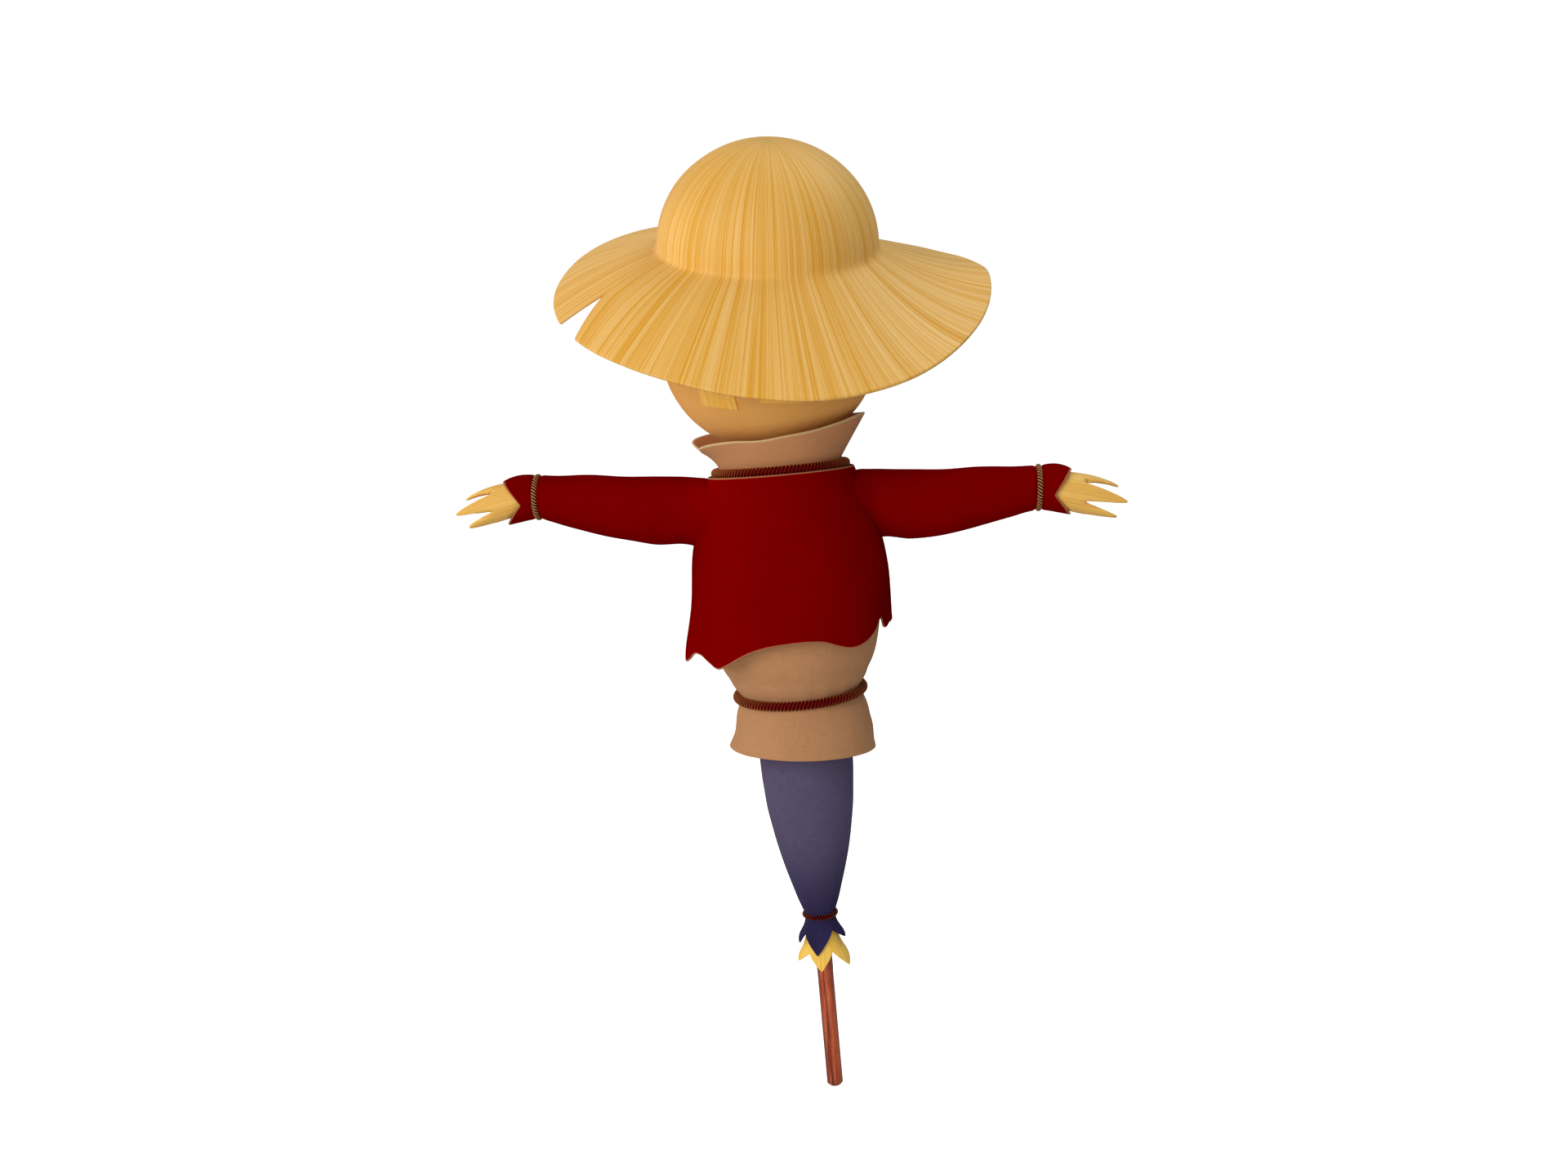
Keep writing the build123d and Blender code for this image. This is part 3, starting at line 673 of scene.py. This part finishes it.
# ---------------------------------------------------------------- shirt
SHIRT = [(74.4, 661.5), (75.3, 659), (76.2, 656), (77.5, 651.5), (80.8, 643), (85.2, 630), (90.3, 612)]
SHIRT += [(97.2, 588), (101.3, 557), (103, 527), (104, 500), (105, 480), (105.5, 470)]
HEM = [(5, 499), (22, 491), (42, 497), (62, 486), (82, 494), (102, 499), (122, 490), (142, 483)]
HEM += [(160, 493), (172, 490), (184, 482), (193, 476.5), (199, 480), (204, 486.5), (210, 486.5)]
HEM += [(218, 480), (226, 474.5), (232, 478), (240, 485), (247.5, 491), (257, 496), (270, 498.8)]
HEM += [(282, 499), (290, 497), (297, 492), (304, 488), (309, 487.6), (316, 490.5), (324, 497)]
HEM += [(331, 504.5), (336, 508), (341, 504), (346, 496.5), (351, 494.5), (358, 498)]
CHEST_Z = 560


def shirt_place(s, t):
    """The shirt's body from its torn hem to the collar."""
    azimuth = 90 + 360 * s
    radius, z = hung(SHIRT, t, CHEST_Z, around(HEM, azimuth))
    low = step(-z, -565, -480)
    # the hem stands out at the left and draws in at the right
    radius = radius + 10.5 * low**1.5 * hump(degrees_from(azimuth, 192), 0, 17)
    radius = radius - 10 * low * hump(degrees_from(azimuth, 346), 0, 18)
    points = turned(radius, z, azimuth)
    shift = unevenness(points, 30, 0.006) * step(-z, -640, -560)
    points[..., :2] *= (1 + shift)[..., None]
    return points


shirt = sheet("shirt_body", shirt_place, 90, 360, 2, [shirt_cloth, shirt_edge], (640, 200))
place_piece(shirt, "stake", "red_cloth", "shirt_body")

# outlines of each sleeve: distance from the pole along the arm, height above the arm's axis
RIGHT_TOP = [(66, 19), (76, 22.5), (90, 22.6), (118, 21.7), (159, 21.6), (200, 22.5), (225, 23.2)]
RIGHT_TOP += [(250, 23.4), (262, 24), (269, 25), (276, 25.2), (286, 23), (294, 19)]
RIGHT_LOW = [(66, -66), (80, -53), (100, -47.5), (130, -49), (159, -47), (184, -41.5), (209, -35)]
RIGHT_LOW += [(233, -28), (250, -23.2), (262, -21.8), (269, -22.6), (278, -24.4), (294, -27.5)]
LEFT_TOP = [(66, 11), (76, 15), (90, 16.4), (134, 18), (168, 19), (220, 20.4), (246, 20.8)]
LEFT_TOP += [(258, 21.4), (266, 21.9), (275, 21.4), (283, 19.4), (294, 14.6)]
LEFT_LOW = [(66, -66), (84, -57), (97, -53.6), (136, -52), (162, -48), (192, -42), (222, -34)]
LEFT_LOW += [(243, -27.4), (252, -25.0), (259, -24.6), (266, -25.8), (276, -28), (294, -32)]
# half of a sleeve's depth, front to back
DEPTH = [(66, 49), (72, 45.5), (80, 39.5), (90, 33.5), (105, 30), (130, 29), (165, 28), (205, 26)]
DEPTH += [(240, 23.2), (253, 22.2), (259, 22.0), (266, 22.4), (280, 23.5), (294, 24.5)]
SLEEVE_ROOT = 66.0
CUFF_START = 252.0
ARM_SHARE = 0.85  # share of the sleeve's rows before the cuff
RIGHT_WRIST = 259.0
LEFT_WRIST = 255.5
CUFF_LOW = 0.28  # how far the cuff's notch lies below its middle, as a share of its half height


def sleeve(side, name, top, low, wrist, notch, tips, nodes):
    """A sleeve from inside the shirt's shoulder to its cuff, which ends in a point above and one below.

    wrist, notch and tips are distances from the pole: the cord's, the cuff's notch and its two points.
    """

    def place(s, t):
        angle = 2 * pi * s + pi / 2
        # the notch at front and back lies below the cuff's middle, and its sides run straight to the points
        rise = np.sin(angle) + CUFF_LOW
        upper = rise > 0
        share = np.sqrt((rise / np.where(upper, 1 + CUFF_LOW, 1 - CUFF_LOW)) ** 2 + 0.002) - 0.045
        reach = notch + (np.where(upper, *tips) - notch) * share
        arm_part = SLEEVE_ROOT + (CUFF_START - SLEEVE_ROOT) * t / ARM_SHARE
        cuff_part = CUFF_START + (reach - CUFF_START) * (t - ARM_SHARE) / (1 - ARM_SHARE)
        x = np.where(t < ARM_SHARE, arm_part, cuff_part)
        high, under = smooth(top, x), smooth(low, x)
        centre, half = (high + under) / 2, (high - under) / 2
        pleat = 0.35 * np.cos(13 * angle + 1) * np.exp(-np.abs(x - wrist) / 14)
        pleat = pleat - 3.0 * hump(x, wrist, 3.4)
        depth = smooth(DEPTH, x) + pleat
        # the root is centred on the pole, the rest of the sleeve on the crossbar behind it
        forward = arm_pivot[1] * (1 - step(x, SLEEVE_ROOT, 100))
        shape = np.stack([x, depth * np.cos(angle) - forward, centre + (half + pleat) * np.sin(angle)], -1)
        soft = unevenness(shape, 21, 0.5) * step(x, 90, 130) * step(-x, -255, -225)
        shape[..., 2] += soft
        shape[..., 1] += soft * 0.6
        return at_arm(side * shape[..., 0], shape[..., 1], shape[..., 2])

    piece = sheet(name, place, 150, 144, 2, [shirt_cloth, shirt_edge], (180, 230))
    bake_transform(piece)
    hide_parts(*nodes)


# the cord sits at wrist along the arm and lift above its axis
for side, name, top, low, wrist, lift, notch, tips in (
    (1, "right", RIGHT_TOP, RIGHT_LOW, RIGHT_WRIST, 1.0, 274.5, (293, 292)),
    (-1, "left", LEFT_TOP, LEFT_LOW, LEFT_WRIST, -1.8, 270.5, (292.5, 288.5)),
):
    sleeve(side, f"{name}_sleeve", top, low, wrist, notch, tips, (f"{name}_sleeve", f"{name}_arm_stuffing"))
    centre = at_arm(side * wrist, 0, lift)
    cuff_rope = rope(f"{name}_wrist_cord", centre, (0, 1, 0), side * arm_x, 21.4, 2.8, 3, 2.9, tan_rope)
    place_piece(cuff_rope, "arms", "tan_rope", f"{name}_wrist_rope")

# ---------------------------------------------------------------- hands
GAPS = (45, -21, -87, -150, 146)  # azimuth of each gap between fingers: 0 faces forward, 90 is up
GAP_ROUND = 0.2  # how round a gap's root is, as a share of half a finger's width
ARCH = 2.0  # how arched a finger's outline is towards its tip
FINGER_ROOT = 39  # distance from the hand's root to the gaps' roots
HAND_WALL = 5.6
PALM = [(0, 12), (6, 16), (13, 18), (21, 18.8), (32, 19.4), (46, 19.8), (60, 19.4), (75, 18.4), (90, 17)]


def hand(side, name, node, root, droop, bend, length, full):
    """A hollow straw palm split into five pointed fingers.

    The hand leaves the arm's axis downwards by droop, in radians, and bends on down towards the tips.
    """
    gaps = sorted(np.mod(GAPS, 360))
    next_gaps = gaps[1:] + [gaps[0] + 360]
    fingers = np.array([(a + b) / 2 for a, b in zip(gaps, next_gaps)])
    spread = np.array([(b - a) / 2 for a, b in zip(gaps, next_gaps)])
    # the forward finger is the longest, the lowest one the shortest
    reaches = np.array([length - (0 if f < 40 else 12 if f > 270 else 6.5) for f in np.mod(fingers, 360)])
    bulk = sqrt(1 + GAP_ROUND**2) - GAP_ROUND

    def place(s, t):
        # the first half of t runs out along the outside, the second half back along the inside
        outside = t <= 0.5
        t = 1 - np.abs(1 - 2 * t) ** 1.4
        angle = 360 * s
        to_finger = np.stack([np.abs(degrees_from(angle, f)) for f in fingers])
        nearest = to_finger.argmin(0)
        reach = reaches[nearest] - FINGER_ROOT
        share = 1 - to_finger.min(0) / spread[nearest]
        # the gap's root is round, and a finger narrows to its tip along an arched outline
        opened = (np.sqrt(share**2 + GAP_ROUND**2) - GAP_ROUND) / bulk
        end = FINGER_ROOT + reach * (1 - (1 - opened) ** ARCH)
        x = t * end
        # the upper finger curls down over the palm
        curl = 2.0 * np.clip(np.sin(np.radians(angle)), 0, 1) * np.clip((x - FINGER_ROOT) / reach, 0, 1) ** 2
        radius = smooth(PALM, x) * full - curl
        # distance from the finger's edge, for its rounded section
        edge_opened = 1 - (1 - np.clip((x - FINGER_ROOT) / reach, 0, 1)) ** (1 / ARCH)
        edge = np.sqrt(np.maximum((edge_opened * bulk + GAP_ROUND) ** 2 - GAP_ROUND**2, 0))
        inside = np.clip((share - edge) * np.radians(spread[nearest]) * radius, 0, None)
        depth = np.minimum(np.where(x > FINGER_ROOT, inside, 99), (end - x) * 0.8)
        round_edge = np.sqrt(1 - (1 - np.clip(depth / 5, 0, 1)) ** 2)
        wall = HAND_WALL * (1 - 0.35 * np.clip((x - FINGER_ROOT) / reach, 0, 1))
        radius = radius - wall / 2 + np.where(outside, 1, -1) * wall / 2 * round_edge
        a = np.radians(angle)
        down = x * sin(droop) + bend * x * x
        x_arm = root + x * cos(droop)
        return at_arm(side * x_arm, -radius * np.cos(a), radius * np.sin(a) - down)

    def along_straw(s, t):
        a = 2 * pi * s
        return np.stack([18 * np.cos(a), 18 * np.sin(a), 80 - 80 * np.abs(1 - 2 * t)], -1)

    s, t = np.meshgrid(np.linspace(0, 1, 301), np.r_[np.linspace(0, 1, 121), 0])
    points = place(s, t)
    piece = grid_object(name, points, True, (120, 80), along_straw(s, t))
    weld(piece)
    piece.data.materials.append(hand_straw)
    place_piece(piece, node, "hand_straw", node)


hand(1, "right_straw_hand", "right_hand", 266, radians(6.5), 0.0012, 80.5, 1.05)
hand(-1, "left_straw_hand", "left_hand", 263, radians(9.5), 0.0014, 77.5, 1.0)

# ---------------------------------------------------------------- tunic
TUNIC = [(36, 653.5), (54, 649), (67, 638), (78, 615), (87, 580), (89.6, 545), (89, 510), (86, 490)]
TUNIC += [(76, 460), (72, 453), (68.4, 445), (64.5, 439), (61.4, 432.5), (64.4, 425), (67.5, 416)]
TUNIC += [(70.7, 398), (75.6, 378), (78.6, 362)]
waist_z = middle("waist_rope")[2]


def tunic_place(s, t):
    """The burlap sack from its skirt's hem, over the waist rope, to the shoulders."""
    azimuth = 90 + 360 * s
    a = np.radians(azimuth)
    radius, z = hung(TUNIC, t, waist_z, 374.5 - 6.2 * np.cos(a) - 2 * np.sin(a))
    gather = 0.45 * np.cos(17 * a) * np.exp(-np.abs(z - waist_z) / 16)
    radius = radius + gather - 4.5 * np.cos(a) * step(-z, -397, -372)
    points = turned(radius, z, azimuth)
    points[..., :2] *= (1 + unevenness(points, 26, 0.006))[..., None]
    return points


tunic = sheet("tunic", tunic_place, 130, 220, 2, [burlap], (480, 300))
place_piece(tunic, "stake", "burlap", "tunic")

FILL = [(10, 434), (24, 429.5), (40, 429), (52, 432), (58, 441), (56, 452), (40, 458), (14, 459)]


def fill_place(s, t):
    """The filling that shows at the tunic's waist, above the leg."""
    line = along(FILL, 1 - t)
    points = turned(line[..., 0], line[..., 1], 360 * s)
    return points + unevenness(points, 6, 0.7)[..., None] * np.array([0, 0, 1])


torso_fill = sheet("torso_fill", fill_place, 40, 120, 1.5, [fill], (300, 100))
place_piece(torso_fill, "stake", "stuffing", "torso_stuffing")

# ---------------------------------------------------------------- leg and straw foot
LEG = [(53, 426), (51, 402), (48.9, 375), (48.3, 357), (48, 348), (46.9, 332), (45.2, 311), (41.9, 290)]
LEG += [(37.7, 268), (32.6, 247), (26.6, 226), (20.4, 206), (17.0, 197), (15.4, 192), (16.6, 186)]
LEG += [(19.4, 175), (23.2, 160), (25.2, 151)]
LEG_HEM = [(200, 163.5), (217, 175), (259, 153), (311, 177.5), (351, 166), (25, 176), (58, 160)]
LEG_HEM += [(94, 175), (128, 157), (165, 175)]
ankle_z = middle("ankle_rope")[2]


def leg_place(s, t):
    """The trouser leg from its pointed cuff, over the ankle rope, to inside the tunic."""
    azimuth = 90 + 360 * s
    a = np.radians(azimuth)
    radius, z = hung(LEG, t, ankle_z, zigzag(LEG_HEM, azimuth))
    gather = 0.3 * np.cos(9 * a + radians(40)) * np.exp(-np.abs(z - ankle_z - 6) / 15)
    flare = 4.0 * np.cos(a) ** 2 * step(-z, -184, -166)
    points = turned(radius + gather + flare, z, azimuth)
    points[..., :2] *= (1 + unevenness(points, 24, 0.005) * step(z, 200, 240))[..., None]
    return points


leg = sheet("trouser_leg", leg_place, 140, 200, 2, [denim], (240, 280))
place_piece(leg, "stake", "denim", "trouser_leg", "leg_stuffing")

FOOT = [(11.5, 200), (11.6, 192), (13.2, 183), (17.4, 168), (21.0, 156), (26.4, 141), (28.4, 135)]
FOOT_HEM = [(196, 143.5), (231, 154), (267, 137), (301, 155), (337, 137.5), (14, 153), (50, 139)]
FOOT_HEM += [(88, 154), (124, 139), (160, 154)]
FOOT_ROOT_Z = 183


def foot_place(s, t):
    """The straw foot from its points to inside the ankle rope."""
    azimuth = 90 + 360 * s
    radius, z = hung(FOOT, t, FOOT_ROOT_Z, zigzag(FOOT_HEM, azimuth))
    flare = 3.0 * np.cos(np.radians(azimuth)) ** 2 * step(-z, -165, -144)
    return turned(radius + flare, z, azimuth)


def foot_grain(s, t):
    """Straw laid up and down the foot."""
    a = 2 * pi * s
    return np.stack([18 * np.cos(a), 18 * np.sin(a), 60 * t], -1)


foot = sheet("straw_foot", foot_place, 50, 200, 1.7, [foot_straw], (110, 60), True, foot_grain)
place_piece(foot, "stake", "foot_straw", "straw_foot")

# ---------------------------------------------------------------- stage, light and camera
floor_mesh = bpy.data.meshes.new("floor")
floor_mesh.from_pydata([(-20, -20, 0), (20, -20, 0), (20, 20, 0), (-20, 20, 0)], [], [(0, 1, 2, 3)])
floor = bpy.data.objects.new("floor", floor_mesh)
bpy.context.scene.collection.objects.link(floor)
floor_paint = Paint("floor_paint", Roughness=0.9, Specular_IOR_Level=0.0)
# it glows for the camera only, so it looks white and adds no light
direct = floor_paint.node("LightPath", {}, 0)
floor_paint.put(floor_paint.surface, "Base Color", (0.6, 0.6, 0.6, 1))
floor_paint.put(floor_paint.surface, "Emission Color", (1, 1, 1, 1))
floor_paint.put(floor_paint.surface, "Emission Strength", direct)
floor_mesh.materials.append(floor_paint.material)

world = bpy.data.worlds.new("studio")
bpy.context.scene.world = world
world.use_nodes = True
sky = world.node_tree
background = sky.nodes["Background"]
# the surroundings are white to the camera and dimmer as a light
seen = sky.nodes.new("ShaderNodeLightPath")
strength = sky.nodes.new("ShaderNodeMapRange")
strength.inputs["To Min"].default_value = 0.265
strength.inputs["To Max"].default_value = 1.05
sky.links.new(seen.outputs["Is Camera Ray"], strength.inputs["Value"])
sky.links.new(strength.outputs[0], background.inputs["Strength"])
background.inputs["Color"].default_value = (1, 1, 1, 1)


def soft_light(name, place, aim, size, power, colour):
    """A large square studio light."""
    data = bpy.data.lights.new(name, "AREA")
    data.size = size
    data.energy = power
    data.color = colour
    light = bpy.data.objects.new(name, data)
    bpy.context.scene.collection.objects.link(light)
    light.location = place
    light.rotation_euler = (Vector(aim) - Vector(place)).to_track_quat("-Z", "Y").to_euler()


soft_light("key", (-1.3, -2.0, 1.6), (0, 0, 0.6), 1.3, 28, (1.0, 0.95, 0.86))
soft_light("rim_left", (-1.7, 0.5, 1.3), (0, 0, 0.6), 1.0, 13, (1.0, 0.88, 0.55))
soft_light("top_right", (1.0, 0.4, 2.3), (0, 0, 0.8), 1.0, 14, (0.95, 1.0, 0.85))
soft_light("low_front", (-0.1, -2.2, 0.6), (0, 0, 0.8), 1.2, 12, (1.0, 0.88, 0.7))

CAMERA_FROM = 1475.0  # distance from the pole
CAMERA_HEIGHT = 733.0
CAMERA_AZIMUTH = radians(4.6)
CAMERA_ASIDE = radians(0.288)
CAMERA_DOWN = radians(7.42)
CAMERA_ROLL = radians(5.12)
camera_data = bpy.data.cameras.new("camera")
camera_data.lens = 33.19
camera_data.sensor_width = 36
camera_data.clip_start = 0.01
camera = bpy.data.objects.new("camera", camera_data)
bpy.context.scene.collection.objects.link(camera)
heading = CAMERA_AZIMUTH + CAMERA_ASIDE
forward = Vector((-sin(heading) * cos(CAMERA_DOWN), cos(heading) * cos(CAMERA_DOWN), -sin(CAMERA_DOWN)))
right = forward.cross(Vector((0, 0, 1))).normalized()
above = right.cross(forward)
rolled_right = right * cos(CAMERA_ROLL) - above * sin(CAMERA_ROLL)
rolled_above = above * cos(CAMERA_ROLL) + right * sin(CAMERA_ROLL)
turn = Matrix((rolled_right, rolled_above, -forward)).transposed().to_4x4()
spot = Vector((sin(CAMERA_AZIMUTH) * CAMERA_FROM, -cos(CAMERA_AZIMUTH) * CAMERA_FROM, CAMERA_HEIGHT)) * MM
camera.matrix_world = Matrix.Translation(spot) @ turn
bpy.context.scene.camera = camera
bpy.context.scene.view_settings.view_transform = "Standard"

bpy.context.view_layer.update()
